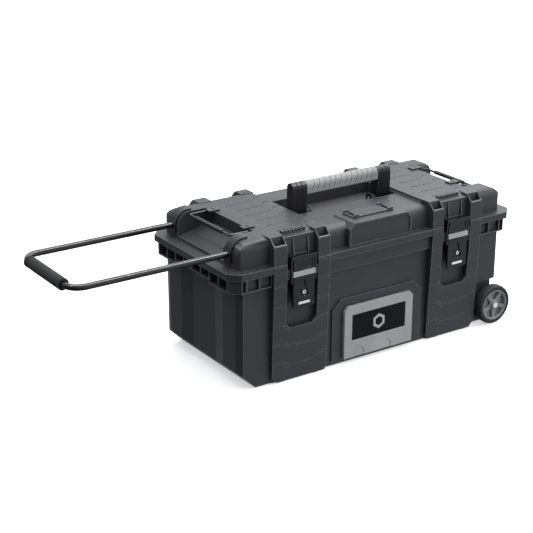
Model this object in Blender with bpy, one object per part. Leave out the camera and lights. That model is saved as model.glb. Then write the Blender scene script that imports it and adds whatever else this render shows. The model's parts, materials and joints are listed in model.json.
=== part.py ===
"""Rolling carpenter toolbox: a moulded tub and a hinged lid with two draw latches,
a folding carry handle, a sliding pull handle, two wire end grips and two wheels.

Frame: +X is the wheel end, -Y the latch side, +Z up. The origin lies on the
underside of the tub, at its middle. All sizes are in metres.
"""
import math

import bmesh
import bpy
from mathutils import Matrix, Vector

# Driving dimensions
RIM_HALF_X = 0.355
RIM_HALF_Y = 0.157
RIM_CORNER = 0.021
RIM_TOP = 0.2467
RIM_BAND = 0.0135
SKIRT_HALF_X = 0.349
SKIRT_HALF_Y = 0.1505
SKIRT_CORNER = 0.0185
SKIRT_DROP = 0.042
BODY_HALF_X = 0.3285
BODY_HALF_Y = 0.142
WALL = 0.003
GAP = 0.0003

PILLAR_INNER = 0.130
PILLAR_OUTER = 0.261
BAY_INNER = 0.158
BAY_OUTER = 0.2315
BAY_BOTTOM = 0.112
BAY_WALL_Y = 0.1413
PILLAR_FACE_TOP = 0.1585
PILLAR_FACE_FOOT = 0.1487

LID_BASE = RIM_TOP + GAP
LID_HALF_X = 0.3288
LID_HALF_Y = 0.1386
LID_CORNER = 0.010
LID_END_RADIUS = 0.028
LID_FRONT_RADIUS = 0.0205
LID_BACK_RADIUS = 0.024
LID_TOP = 0.300
LID_MIDDLE_TOP = 0.293
LID_MIDDLE_HALF = 0.1315
LID_PILLAR_FACE = 0.157

WHEEL_RADIUS = 0.0432
WHEEL_WIDTH = 0.022
WHEEL_X = 0.3108
WHEEL_Z = 0.0412
WHEEL_FACE_Y = 0.163
WELL_X = 0.2640
WELL_Y = 0.1325
WELL_TOP = 0.0955
AXLE_RADIUS = 0.004

HINGE_Y = 0.1605
HINGE_Z = 0.2520
HINGE_RADIUS = 0.005

TUBE_RADIUS = 0.0063
TUBE_Y = 0.103
TUBE_Z = 0.272
PULL_X = -0.657
PULL_CORNER = 0.030
PULL_INNER_END = -0.255

HANDLE_Y = -0.0105
HANDLE_Z = 0.284
POST_HALF_DEPTH = 0.0115
POST_INNER = 0.090
POST_OUTER = 0.1235
POST_TOP = 0.3515

GRIP_PIVOT_X = 0.2668
GRIP_PIVOT_Z = 0.2965
WIRE_RADIUS = 0.0025
WIRE_X = 0.308
WIRE_HALF_Y = 0.075
GRIP_DROOP = {"left": 0.0, "right": 12.0}
LOBE_INNER_Y = 0.0855
LOBE_RADIUS = 0.013

LATCH_X = 0.19475
LATCH_PIVOT = (-0.152, 0.224)
HOOK_PIVOT = (-0.158, 0.2115)

SIDES = {"left": -1, "right": 1}
FACES = {"front": -1, "back": 1}


def clear_scene():
    for item in list(bpy.data.objects):
        bpy.data.objects.remove(item, do_unlink=True)


def finish(item, colour, roughness, metallic=0.0):
    """Gives an object its own plain material."""
    material = bpy.data.materials.new(item.name + "_material")
    material.use_nodes = True
    shader = material.node_tree.nodes["Principled BSDF"]
    shader.inputs["Base Color"].default_value = (*colour, 1.0)
    shader.inputs["Roughness"].default_value = roughness
    shader.inputs["Metallic"].default_value = metallic
    item.data.materials.clear()
    item.data.materials.append(material)
    return item


def link(name, shape):
    """Turns a bmesh into a named object in the scene."""
    bmesh.ops.recalc_face_normals(shape, faces=shape.faces)
    mesh = bpy.data.meshes.new(name)
    shape.to_mesh(mesh)
    shape.free()
    item = bpy.data.objects.new(name, mesh)
    bpy.context.scene.collection.objects.link(item)
    return item


def prism(name, outline, low, high, axis):
    """A flat outline swept from low to high along X, Y or Z."""
    shape = bmesh.new()
    corners = []
    for u, v in outline:
        place = {"X": (low, u, v), "Y": (u, low, v), "Z": (u, v, low)}[axis]
        corners.append(shape.verts.new(place))
    face = shape.faces.new(corners)
    swept = bmesh.ops.extrude_face_region(shape, geom=[face])
    step = Vector((axis == "X", axis == "Y", axis == "Z")) * (high - low)
    moved = [part for part in swept["geom"] if isinstance(part, bmesh.types.BMVert)]
    bmesh.ops.translate(shape, verts=moved, vec=step)
    return link(name, shape)


def box(name, low, high):
    outline = [(low[0], low[1]), (high[0], low[1]), (high[0], high[1]), (low[0], high[1])]
    return prism(name, outline, low[2], high[2], "Z")


def arc(centre_u, centre_v, radius, start, end, steps):
    """Points along a circular arc, angles in degrees."""
    points = []
    for step in range(steps + 1):
        angle = math.radians(start + (end - start) * step / steps)
        points.append((centre_u + radius * math.cos(angle), centre_v + radius * math.sin(angle)))
    return points


def round_bar(name, centre, radius, low, high, axis, sides=16):
    """A cylinder along one axis; centre holds the other two coordinates in order."""
    outline = arc(centre[0], centre[1], radius, 0, 360 - 360 / sides, sides - 1)
    return prism(name, outline, low, high, axis)


def turned(name, profile, centre, steps):
    """A closed (radius, y) profile turned about a Y axis through centre."""
    shape = bmesh.new()
    corners = [shape.verts.new((centre[0] + r, centre[1] + y, centre[2])) for r, y in profile]
    edges = [shape.edges.new((corners[i], corners[(i + 1) % len(corners)])) for i in range(len(corners))]
    bmesh.ops.spin(shape, geom=corners + edges, cent=centre, axis=(0, 1, 0),
                   angle=math.tau, steps=steps, use_merge=True)
    bmesh.ops.remove_doubles(shape, verts=shape.verts, dist=1e-6)
    return link(name, shape)


def swept_tube(name, path, radius, inner_radius, sides):
    """A round tube along a level path; a zero inner radius gives a solid rod."""
    shape = bmesh.new()
    rings = []
    for index, point in enumerate(path):
        before = Vector(path[max(index - 1, 0)])
        after = Vector(path[min(index + 1, len(path) - 1)])
        along = (after - before).normalized()
        across = Vector((-along.y, along.x, 0))
        stretch = 1.0
        if 0 < index < len(path) - 1:
            step = (Vector(point) - before).normalized()
            stretch = 1.0 / max(along.dot(step), 0.5)
        pair = []
        for ring_radius in (radius, inner_radius):
            ring = []
            for side in range(sides):
                angle = math.tau * side / sides
                offset = across * (ring_radius * stretch * math.cos(angle))
                offset.z = ring_radius * math.sin(angle)
                ring.append(Vector(point) + offset)
            pair.append([shape.verts.new(place) for place in ring] if ring_radius else None)
        rings.append(pair)
    for first, second in zip(rings, rings[1:]):
        for wall in (0, 1):
            if first[wall] is None:
                continue
            for side in range(sides):
                after = (side + 1) % sides
                near, far = first[wall], second[wall]
                shape.faces.new((near[side], near[after], far[after], far[side]))
    for pair in (rings[0], rings[-1]):
        if pair[1] is None:
            shape.faces.new(pair[0])
            continue
        for side in range(sides):
            after = (side + 1) % sides
            shape.faces.new((pair[0][side], pair[0][after], pair[1][after], pair[1][side]))
    return link(name, shape)


def combine(target, operation, tools):
    """Adds one exact Boolean of the target with a group of helper solids."""
    group = bpy.data.collections.new(target.name + "_" + operation.lower())
    bpy.context.scene.collection.children.link(group)
    for tool in tools:
        for owner in list(tool.users_collection):
            owner.objects.unlink(tool)
        group.objects.link(tool)
        tool.hide_render = True
        tool.display_type = "WIRE"
    modifier = target.modifiers.new(operation.title(), "BOOLEAN")
    modifier.operation = operation
    modifier.operand_type = "COLLECTION"
    modifier.collection = group
    modifier.solver = "EXACT"


def pivot(name, place):
    """An empty on a joint axis."""
    empty = bpy.data.objects.new(name, None)
    empty.location = place
    empty.empty_display_size = 0.02
    bpy.context.scene.collection.objects.link(empty)
    return empty


def hang(parent, *items):
    """Parents objects to an empty and leaves them where they are."""
    for item in items:
        item.parent = parent
        item.matrix_parent_inverse = Matrix.Translation(parent.location).inverted()


def smooth(*items):
    for item in items:
        item.data.shade_smooth()
        item.data.set_sharp_from_angle(angle=math.radians(35))


def octagon(half_x, half_y, corner):
    return [(-half_x + corner, -half_y), (half_x - corner, -half_y), (half_x, -half_y + corner),
            (half_x, half_y - corner), (half_x - corner, half_y), (-half_x + corner, half_y),
            (-half_x, half_y - corner), (-half_x, -half_y + corner)]


def mirrored(low, high, side):
    """A pair of limits on the +X or -X side, in rising order."""
    return (low, high) if side > 0 else (-high, -low)


# ---------------------------------------------------------------- tub

def tub_walls():
    """Plan of the tub: shallow recess in each end and slanted corners."""
    right = [(0.3228, -BODY_HALF_Y), (BODY_HALF_X, -0.124), (BODY_HALF_X, -0.078), (0.3225, -0.042),
             (0.3225, 0.042), (BODY_HALF_X, 0.078), (BODY_HALF_X, 0.124), (0.3228, BODY_HALF_Y)]
    left = [(-x, -y) for x, y in right]
    return prism("tub_shell", right + left, 0.0, RIM_TOP, "Z")


def pillar_block(side, face):
    """A drafted block that holds two pillars and the bay between them."""
    profile = [(face * 0.135, 0.0), (face * PILLAR_FACE_FOOT, 0.0),
               (face * PILLAR_FACE_TOP, RIM_TOP), (face * 0.135, RIM_TOP)]
    low, high = mirrored(PILLAR_INNER, PILLAR_OUTER, side)
    return prism("pillar_block", profile, low, high, "X")


def tub_additions():
    band = octagon(RIM_HALF_X, RIM_HALF_Y, RIM_CORNER)
    skirt = octagon(SKIRT_HALF_X, SKIRT_HALF_Y, SKIRT_CORNER)
    parts = [prism("rim_band", band, RIM_TOP - RIM_BAND, RIM_TOP, "Z"),
             prism("skirt", skirt, RIM_TOP - SKIRT_DROP, RIM_TOP - RIM_BAND + 0.001, "Z")]
    badge_block = [(-0.1135, 0.008), (0.1135, 0.008), (0.1135, 0.118), (0.0925, 0.140),
                   (-0.0925, 0.140), (-0.1135, 0.118)]
    parts.append(prism("badge_block", badge_block, -0.1455, -0.139, "Y"))
    for side in (-1, 1):
        for face in (-1, 1):
            parts.append(pillar_block(side, face))
            for foot in (0.155, 0.236):
                parts.append(box("foot", (side * foot - 0.007, face * 0.1425 - 0.004, -0.002),
                                 (side * foot + 0.007, face * 0.1425 + 0.004, 0.001)))
    return parts


def tub_cavity():
    """The space inside; its left end follows the chamfered underside."""
    left = BODY_HALF_X - 0.0095
    profile = [(-left, 0.26), (-left, 0.0280), (-0.2965, WALL), (0.3020, WALL), (0.3020, 0.0500),
               (0.3165, 0.0500), (0.3165, 0.26)]
    reach = BODY_HALF_Y - WALL
    return prism("cavity", profile, -reach, reach, "Y")


def well_housing(face):
    low, high = sorted((face * (WELL_Y - WALL), face * 0.1410))
    return box("well_housing", (WELL_X - WALL, low, 0.001), (0.3215, high, WELL_TOP + WALL))


def latch_bay(side):
    """The recess between the front pillars, with chamfered lower corners."""
    low, high = mirrored(BAY_INNER, BAY_OUTER, side)
    outline = [(low, 0.27), (low, BAY_BOTTOM + 0.011), (low + 0.011, BAY_BOTTOM),
               (high - 0.011, BAY_BOTTOM), (high, BAY_BOTTOM + 0.011), (high, 0.27)]
    return prism("latch_bay", outline, -0.18, -BAY_WALL_Y, "Y")


def hinge_bay(side):
    low, high = mirrored(BAY_INNER, BAY_OUTER, side)
    return box("hinge_bay", (low, 0.1573, 0.19), (high, 0.18, 0.27))


def rim_pockets():
    """Open pockets between the ribs under the rim."""
    pockets = []
    low, high = RIM_TOP - SKIRT_DROP + 0.0026, RIM_TOP - RIM_BAND - 0.0006
    for side in (-1, 1):
        for place in range(-4, 4):
            middle = (place + 0.5) * 0.032
            x_low, x_high = mirrored(BODY_HALF_X + 0.002, 0.36, side)
            shift = 0.006 if abs(middle) < 0.064 else 0.0
            pockets.append(box("end_pocket", (x_low, middle - 0.0145, low + shift),
                               (x_high, middle + 0.0145, high)))
        x_low, x_high = mirrored(BODY_HALF_X + 0.0006, 0.36, side)
        step_top = RIM_TOP - SKIRT_DROP + 0.006
        pockets.append(box("skirt_step", (x_low, -0.064, 0.19), (x_high, 0.064, step_top)))
        for face in (-1, 1):
            y_low, y_high = sorted((face * 0.1445, face * 0.17))
            for start, end in ((0.2635, 0.2885), (0.2920, 0.3175), (0.3210, 0.3290)):
                x_low, x_high = mirrored(start, end, side)
                pockets.append(box("side_pocket", (x_low, y_low, low), (x_high, y_high, high)))
    return pockets


def underside_cuts():
    """Left underside chamfer, wheel wells, axle channel and the inset end wall over the wheels."""
    chamfer = [(-0.3485, 0.053), (-0.37, 0.053), (-0.37, -0.02), (-0.2755, -0.02)]
    cuts = [prism("end_chamfer", chamfer, -0.2, 0.2, "Y"),
            box("end_inset", (0.3200, -0.2, -0.01), (0.37, 0.2, WELL_TOP))]
    channel = [(WHEEL_X - 0.005, -0.02), (WHEEL_X + 0.005, -0.02)]
    channel += arc(WHEEL_X, WHEEL_Z, 0.005, 0, 180, 8)
    cuts.append(prism("axle_channel", channel, -0.14, 0.14, "Y"))
    for face in (-1, 1):
        low, high = sorted((face * WELL_Y, face * 0.18))
        cuts.append(box("wheel_well", (WELL_X, low, -0.01), (0.37, high, WELL_TOP)))
        notch = [(PILLAR_OUTER - 0.011, -0.01), (0.27, -0.01), (0.27, 0.014),
                 (PILLAR_OUTER + 0.003, 0.014)]
        low, high = sorted((face * 0.13, face * 0.17))
        cuts.append(prism("pillar_notch", notch, low, high, "Y"))
    return cuts


def latch_lugs(side):
    """Two lugs inside a latch bay that carry the lever pin."""
    lugs = []
    for hand in (-1, 1):
        middle = side * LATCH_X
        low, high = mirrored(0.0305, 0.0385, hand)
        lugs.append(box("latch_lug", (middle + low, -0.1565, 0.2150), (middle + high, -0.1400, 0.2325)))
    return lugs


def hinge_knuckles(side, spans, low_y, low_z):
    """Hinge barrels with their webs; spans are distances from the middle plane."""
    parts = []
    for start, end in spans:
        low, high = mirrored(start, end, side)
        profile = [(low_y, low_z), (HINGE_Y + HINGE_RADIUS, low_z)]
        if low_z > RIM_TOP:
            profile = [(low_y, low_z), (HINGE_Y, low_z)]
            profile += arc(HINGE_Y, HINGE_Z, HINGE_RADIUS, -90, 90, 8)[1:]
            profile += [(low_y, HINGE_Z + HINGE_RADIUS)]
        else:
            profile += arc(HINGE_Y, HINGE_Z, HINGE_RADIUS, 0, 180, 8)
            profile += [(HINGE_Y - HINGE_RADIUS, RIM_TOP - 0.001), (low_y, RIM_TOP - 0.001)]
        parts.append(prism("knuckle", profile, low, high, "X"))
    return parts


TUB_KNUCKLES = ((0.1625, 0.1755), (0.2140, 0.2270))
LID_KNUCKLES = ((0.1762, 0.2133),)


def build_tub():
    tub = tub_walls()
    combine(tub, "UNION", tub_additions())
    combine(tub, "DIFFERENCE", [tub_cavity()])
    later = [well_housing(face) for face in (-1, 1)]
    cuts = underside_cuts() + rim_pockets()
    cuts += [latch_bay(side) for side in (-1, 1)] + [hinge_bay(side) for side in (-1, 1)]
    combine(tub, "UNION", later)
    combine(tub, "DIFFERENCE", cuts)
    details = []
    holes = []
    for side in (-1, 1):
        details += latch_lugs(side)
        details += hinge_knuckles(side, TUB_KNUCKLES, 0.1500, 0.2380)
        low, high = mirrored(LATCH_X - 0.0365, LATCH_X + 0.0365, side)
        holes.append(round_bar("lever_pin_hole", LATCH_PIVOT, 0.0023, low, high, "X", 12))
        low, high = mirrored(0.1610, 0.2285, side)
        holes.append(round_bar("hinge_pin_hole", (HINGE_Y, HINGE_Z), 0.0023, low, high, "X", 12))
    combine(tub, "UNION", details)
    combine(tub, "DIFFERENCE", holes)
    return finish(tub, (0.050, 0.050, 0.055), 0.55)


# ---------------------------------------------------------------- lid

def lid_section(top, offset=0.0):
    """Cross-section of the lid; an offset gives the hollow that leaves that much wall."""
    half = LID_HALF_Y - offset
    crest = top - offset
    base = 0.24 if offset else LID_BASE
    section = [(-half, base), (half, base)]
    radius = LID_BACK_RADIUS - offset
    section += arc(half - radius, crest - radius, radius, 0, 90, 4)
    radius = LID_FRONT_RADIUS - offset
    section += arc(-half + radius, crest - radius, radius, 90, 180, 6)
    return section


def lid_solid():
    """Two raised end parts and a lower middle part, still solid."""
    plan = []
    for turn, sign_x, sign_y in ((0, 1, 1), (90, -1, 1), (180, -1, -1), (270, 1, -1)):
        plan += arc(sign_x * (LID_HALF_X - LID_CORNER), sign_y * (LID_HALF_Y - LID_CORNER),
                    LID_CORNER, turn, turn + 90, 4)
    lid = prism("lid_shell", plan, LID_BASE, LID_TOP + 0.01, "Z")
    across = prism("lid_section", lid_section(LID_TOP), -0.34, 0.34, "X")
    arc_x, arc_z = LID_HALF_X - LID_END_RADIUS, LID_TOP - LID_END_RADIUS
    ends = [(-LID_HALF_X, 0.24), (LID_HALF_X, 0.24)]
    ends += arc(arc_x, arc_z, LID_END_RADIUS, 0, 90, 6)
    ends += arc(-arc_x, arc_z, LID_END_RADIUS, 90, 180, 6)
    along = prism("lid_ends", ends, -0.2, 0.2, "Y")
    combine(lid, "INTERSECT", [across])
    combine(lid, "INTERSECT", [along])
    gap = box("middle_gap", (-LID_MIDDLE_HALF, -0.2, 0.2), (LID_MIDDLE_HALF, 0.2, 0.32))
    combine(lid, "DIFFERENCE", [gap])
    reach = LID_MIDDLE_HALF + 0.0004
    combine(lid, "UNION", [prism("lid_middle", lid_section(LID_MIDDLE_TOP), -reach, reach, "X")])
    return lid


def lid_pillar(low, high, face):
    """A lid pillar with a slanted head and an open socket in it."""
    profile = [(face * 0.115, LID_BASE), (face * LID_PILLAR_FACE, LID_BASE),
               (face * LID_PILLAR_FACE, 0.2852), (face * 0.1415, 0.3012), (face * 0.115, 0.3012)]
    return prism("lid_pillar", profile, low, high, "X")


def lid_boss():
    outline = [(-0.078, LID_BASE), (0.078, LID_BASE), (0.078, 0.2845), (0.0665, 0.2955),
               (-0.0665, 0.2955), (-0.078, 0.2845)]
    return prism("lid_boss", outline, -0.1500, -0.0830, "Y")


def lid_cavity_parts():
    """Hollow spaces under the lid skin."""
    parts = []
    for side in (-1, 1):
        low, high = mirrored(LID_MIDDLE_HALF + WALL, 0.2585, side)
        parts.append(prism("side_space", lid_section(LID_TOP, WALL), low, high, "X"))
        profile = [(0.2580, 0.24), (0.3258, 0.24), (0.3258, 0.272), (0.3008, 0.297), (0.2580, 0.297)]
        profile = [(side * x, z) for x, z in profile]
        # At the wheel end the hollow keeps clear of the lobe's rounded inner edge.
        inner = LOBE_INNER_Y + LOBE_RADIUS if side > 0 else 0.0890
        for face in (-1, 1):
            y_low, y_high = sorted((face * inner, face * 0.1170))
            parts.append(prism("lobe_space", profile, y_low, y_high, "Y"))
        pocket = [(0.2580, 0.24), (0.2830, 0.24), (0.2830, 0.2560), (0.2580, 0.2640)]
        parts.append(prism("ramp_space", [(side * x, z) for x, z in pocket], -0.0895, 0.0895, "Y"))
    reach = LID_MIDDLE_HALF + WALL + 0.001
    parts.append(prism("middle_space", lid_section(LID_MIDDLE_TOP, WALL), -reach, reach, "X"))
    return parts


def lobe_rounding():
    """Cutters that round the inner top edges of the two lobes at the wheel end."""
    cutters = []
    radius, inner = LOBE_RADIUS, LOBE_INNER_Y
    for face in (-1, 1):
        outline = [(inner, LID_TOP + 0.01), (inner, LID_TOP - radius)]
        outline += arc(inner + radius, LID_TOP - radius, radius, 180, 90, 5)
        outline += [(inner + radius, LID_TOP + 0.01)]
        outline = [(face * y, z) for y, z in outline]
        cutters.append(prism("lobe_rounding", outline, 0.2620, 0.34, "X"))
    return cutters


def end_pocket(side):
    """Hand space under a wire end grip: a ramp that rises towards the middle."""
    profile = [(0.2620, 0.31), (0.2620, 0.2720), (0.2850, 0.2620), (0.3300, 0.2520),
               (0.3500, 0.2520), (0.3500, 0.31)]
    return prism("end_grip_pocket", [(side * x, z) for x, z in profile], -0.086, 0.086, "Y")


def build_lid():
    lid = lid_solid()
    pillars = []
    sockets = []
    for side in (-1, 1):
        for start, end in ((PILLAR_INNER, BAY_INNER), (BAY_OUTER, PILLAR_OUTER)):
            low, high = mirrored(start, end, side)
            pillars += [lid_pillar(low, high, face) for face in (-1, 1)]
            for y_low, y_high in ((-0.1546, -0.1420), (0.1420, 0.1546)):
                sockets.append(box("pillar_socket", (low + 0.0024, y_low, 0.2640),
                                   (high - 0.0024, y_high, 0.32)))
        low, high = mirrored(BAY_INNER - 0.001, BAY_OUTER + 0.001, side)
        pillars.append(box("latch_plate", (low, -0.1435, LID_BASE), (high, -0.1250, 0.2960)))
    combine(lid, "UNION", pillars + [lid_boss()])
    combine(lid, "DIFFERENCE", lid_cavity_parts())
    reach = LID_MIDDLE_HALF + 0.0002
    combine(lid, "UNION", [box("pit_walls", (-reach, -0.0400, 0.2670), (reach, 0.0650, 0.2915))])
    cuts = [end_pocket(side) for side in (-1, 1)] + lobe_rounding()
    cuts.append(box("handle_pit", (-0.1285, -0.0370, 0.2702), (0.1285, 0.0620, 0.32)))
    boss_panel = [(-0.0745, 0.2515), (0.0745, 0.2515), (0.0745, 0.2830), (0.0650, 0.2920),
                  (-0.0650, 0.2920), (-0.0745, 0.2830)]
    cuts.append(prism("boss_panel", boss_panel, -0.17, -0.1480, "Y"))
    for face in (-1, 1):
        cuts.append(round_bar("tube_hole", (face * TUBE_Y, TUBE_Z), 0.0075, -0.34, -0.318, "X", 16))
    combine(lid, "DIFFERENCE", cuts + sockets)
    details = [box("socket_frame", (-0.0500, -0.1250, 0.2945), (0.0500, -0.0880, 0.2985))]
    holes = []
    for side in (-1, 1):
        low, high = mirrored(0.0800, 0.0885, side)
        lug = [(HANDLE_Y - 0.009, 0.2690), (HANDLE_Y + 0.009, 0.2690)]
        lug += arc(HANDLE_Y, HANDLE_Z, 0.009, 0, 180, 8)
        details.append(prism("handle_lug", lug, low, high, "X"))
        low, high = mirrored(0.0780, 0.1313, side)
        holes.append(round_bar("handle_pin_hole", (HANDLE_Y, HANDLE_Z), 0.0033, low, high, "X", 12))
        middle = side * LATCH_X
        details.append(box("latch_catch", (middle - 0.0225, -0.1480, 0.2545),
                           (middle + 0.0225, -0.1420, 0.2600)))
        for fin in (-0.0150, 0.0195):
            profile = [(-0.1420, 0.2600), (-0.1480, 0.2600), (-0.1450, 0.2915), (-0.1420, 0.2915)]
            low, high = middle + fin - 0.001, middle + fin + 0.001
            details.append(prism("latch_fin", profile, low, high, "X"))
        for tooth in range(7):
            start = middle - 0.0285 + tooth * 0.0082
            details.append(box("comb_tooth", (start, -0.1290, 0.2985),
                               (start + 0.0045, -0.1190, 0.3035)))
        details += hinge_knuckles(side, LID_KNUCKLES, 0.1370, HINGE_Z - 0.0045)
        low, high = mirrored(0.1610, 0.2285, side)
        holes.append(round_bar("hinge_pin_hole", (HINGE_Y, HINGE_Z), 0.0023, low, high, "X", 12))
        low, high = mirrored(0.0370, 0.0470, side)
        holes.append(box("frame_socket", (low, -0.1215, 0.2945), (high, -0.0915, 0.31)))
    combine(lid, "UNION", details)
    combine(lid, "DIFFERENCE", holes)
    return finish(lid, (0.055, 0.055, 0.060), 0.5)


def build_hinge_pins():
    pins = []
    for name, side in SIDES.items():
        low, high = mirrored(0.1622, 0.2273, side)
        pin = round_bar("lid_hinge_pin_" + name, (HINGE_Y, HINGE_Z), 0.0019, low, high, "X", 12)
        pins.append(finish(pin, (0.55, 0.55, 0.56), 0.3, 1.0))
    return pins


# ---------------------------------------------------------------- badge

def build_badge():
    """A grey frame with chamfered upper corners round a plain black panel."""
    outline = [(-0.0875, 0.0100), (0.0875, 0.0100), (0.0875, 0.1130), (0.0790, 0.1220),
               (-0.0790, 0.1220), (-0.0875, 0.1130)]
    frame = prism("badge_frame", outline, -0.1525, -0.1455 - GAP, "Y")
    combine(frame, "DIFFERENCE", [box("window", (-0.0685, -0.17, 0.0470), (0.0685, -0.1490, 0.1025))])
    finish(frame, (0.32, 0.32, 0.325), 0.45)
    panel = box("badge_panel", (-0.0682, -0.1518, 0.0473), (0.0682, -0.1490 - GAP, 0.1022))
    finish(panel, (0.004, 0.004, 0.006), 0.25)


# ---------------------------------------------------------------- carry handle

def build_carry_handle(lid_pivot):
    """Two posts, a core bar and a soft grip that fold back into the pit of the lid."""
    axis = pivot("carry_handle_axis", (0.0, HANDLE_Y, HANDLE_Z))
    hang(lid_pivot, axis)
    core_low, core_high = (HANDLE_Y - 0.006, 0.3310), (HANDLE_Y + 0.006, 0.3430)
    for name, side in SIDES.items():
        low, high = mirrored(POST_INNER, POST_OUTER, side)
        profile = arc(HANDLE_Y, HANDLE_Z, POST_HALF_DEPTH, 180, 360, 8)
        profile += arc(HANDLE_Y, POST_TOP - POST_HALF_DEPTH, POST_HALF_DEPTH, 0, 180, 10)
        post = prism("carry_handle_post_" + name, profile, low, high, "X")
        hole = round_bar("pin_hole", (HANDLE_Y, HANDLE_Z), 0.0033, low - 0.001, high + 0.001, "X", 12)
        start, end = mirrored(POST_INNER - 0.002, POST_INNER + 0.009, side)
        socket = box("core_socket", (start, core_low[0] - GAP, core_low[1] - GAP),
                     (end, core_high[0] + GAP, core_high[1] + GAP))
        cuts = [hole, socket]
        for groove in (0.0110, 0.0225):
            middle = POST_INNER + groove
            x_low, x_high = mirrored(middle - 0.0009, middle + 0.0009, side)
            cuts.append(box("post_groove", (x_low, HANDLE_Y - 0.02, 0.296),
                            (x_high, HANDLE_Y - 0.0102, 0.345)))
        combine(post, "DIFFERENCE", cuts)
        finish(post, (0.022, 0.022, 0.024), 0.45)
        low, high = mirrored(0.0795, 0.1310, side)
        pin = round_bar("carry_handle_pin_" + name, (HANDLE_Y, HANDLE_Z), 0.003, low, high, "X", 12)
        finish(pin, (0.6, 0.6, 0.61), 0.25, 1.0)
        hang(axis, post)
        hang(lid_pivot, pin)
    reach = POST_INNER + 0.0085
    core = box("carry_handle_core", (-reach, *core_low), (reach, *core_high))
    finish(core, (0.03, 0.03, 0.032), 0.4)
    half = 0.0125
    profile = [(HANDLE_Y - half + 0.002, 0.3255), (HANDLE_Y + half - 0.002, 0.3255),
               (HANDLE_Y + half, 0.3275)]
    profile += arc(HANDLE_Y, 0.3515 - half, half, 0, 180, 10)
    profile += [(HANDLE_Y - half, 0.3275)]
    grip = prism("carry_handle_grip", profile, -POST_INNER + 0.0006, POST_INNER - 0.0006, "X")
    combine(grip, "DIFFERENCE", [box("core_hole", (-0.1, core_low[0] - GAP, core_low[1] - GAP),
                                     (0.1, core_high[0] + GAP, core_high[1] + GAP))])
    finish(grip, (0.52, 0.52, 0.53), 0.6)
    hang(axis, core, grip)


# ---------------------------------------------------------------- pull handle

def build_pull_handle(lid_pivot):
    """A bent steel tube that slides in channels under the lid."""
    axis = pivot("pull_handle_axis", (PULL_X, 0.0, TUBE_Z))
    hang(lid_pivot, axis)
    bend_x, bend_y = PULL_X + PULL_CORNER, TUBE_Y - PULL_CORNER
    path = [(PULL_INNER_END, -TUBE_Y)]
    path += arc(bend_x, -bend_y, PULL_CORNER, 270, 180, 6)
    path += arc(bend_x, bend_y, PULL_CORNER, 180, 90, 6)
    path.append((PULL_INNER_END, TUBE_Y))
    level_path = [(x, y, TUBE_Z) for x, y in path]
    tube = swept_tube("pull_handle_tube", level_path, TUBE_RADIUS, TUBE_RADIUS - 0.0013, 14)
    finish(tube, (0.012, 0.012, 0.014), 0.18, 0.2)
    grip = round_bar("pull_handle_grip", (PULL_X, TUBE_Z), 0.0118, -0.0710, 0.0710, "Y", 20)
    bore = round_bar("grip_bore", (PULL_X, TUBE_Z), TUBE_RADIUS + GAP, -0.1, 0.1, "Y", 20)
    combine(grip, "DIFFERENCE", [bore])
    finish(grip, (0.018, 0.018, 0.019), 0.85)
    smooth(tube, grip)
    hang(axis, tube, grip)
    for name, face in FACES.items():
        centre = (face * TUBE_Y, TUBE_Z)
        collar = round_bar("pull_handle_stop_" + name, centre, 0.0079, -0.2750, -0.2580, "X", 16)
        bore = round_bar("collar_bore", centre, TUBE_RADIUS + GAP, -0.28, -0.25, "X", 16)
        combine(collar, "DIFFERENCE", [bore])
        finish(collar, (0.35, 0.35, 0.36), 0.5)
        hang(axis, collar)
        build_tube_guides(name, face, lid_pivot)


def build_tube_guides(name, face, lid_pivot):
    """The end bracket that the tube comes out of, and its channel under the lid."""
    arc_x, arc_z = -LID_HALF_X + LID_END_RADIUS, LID_TOP - LID_END_RADIUS
    profile = [(-LID_HALF_X - 0.0045, 0.2570), (-LID_HALF_X - GAP, 0.2570)]
    profile += arc(arc_x, arc_z, LID_END_RADIUS + GAP, 180, 90, 6)
    profile += [(-0.2935, LID_TOP + GAP), (-0.2935, LID_TOP + 0.0035)]
    profile += arc(arc_x, arc_z, LID_END_RADIUS + 0.0035, 90, 180, 6)[:-1]
    profile += [(-LID_HALF_X - 0.0045, 0.2760)]
    low, high = sorted((face * 0.0905, face * 0.1145))
    bracket = prism("tube_guide_" + name, profile, low, high, "Y")
    bore_radius = TUBE_RADIUS + 0.0004
    bore = round_bar("guide_bore", (face * TUBE_Y, TUBE_Z), bore_radius, -0.36, -0.32, "X", 20)
    combine(bracket, "DIFFERENCE", [bore])
    finish(bracket, (0.016, 0.016, 0.018), 0.35)
    inner, outer = 0.0087, 0.0110
    middle = face * TUBE_Y
    bed = [(middle - outer, 0.2885), (middle - outer, 0.2612),
           (middle + outer, 0.2612), (middle + outer, 0.2885),
           (middle + inner, 0.2885), (middle + inner, 0.2635),
           (middle - inner, 0.2635), (middle - inner, 0.2885)]
    channel = prism("tube_channel_" + name, bed, -0.3070, 0.0620, "X")
    finish(channel, (0.04, 0.04, 0.043), 0.55)
    hang(lid_pivot, bracket, channel)


# ---------------------------------------------------------------- end grips

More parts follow.
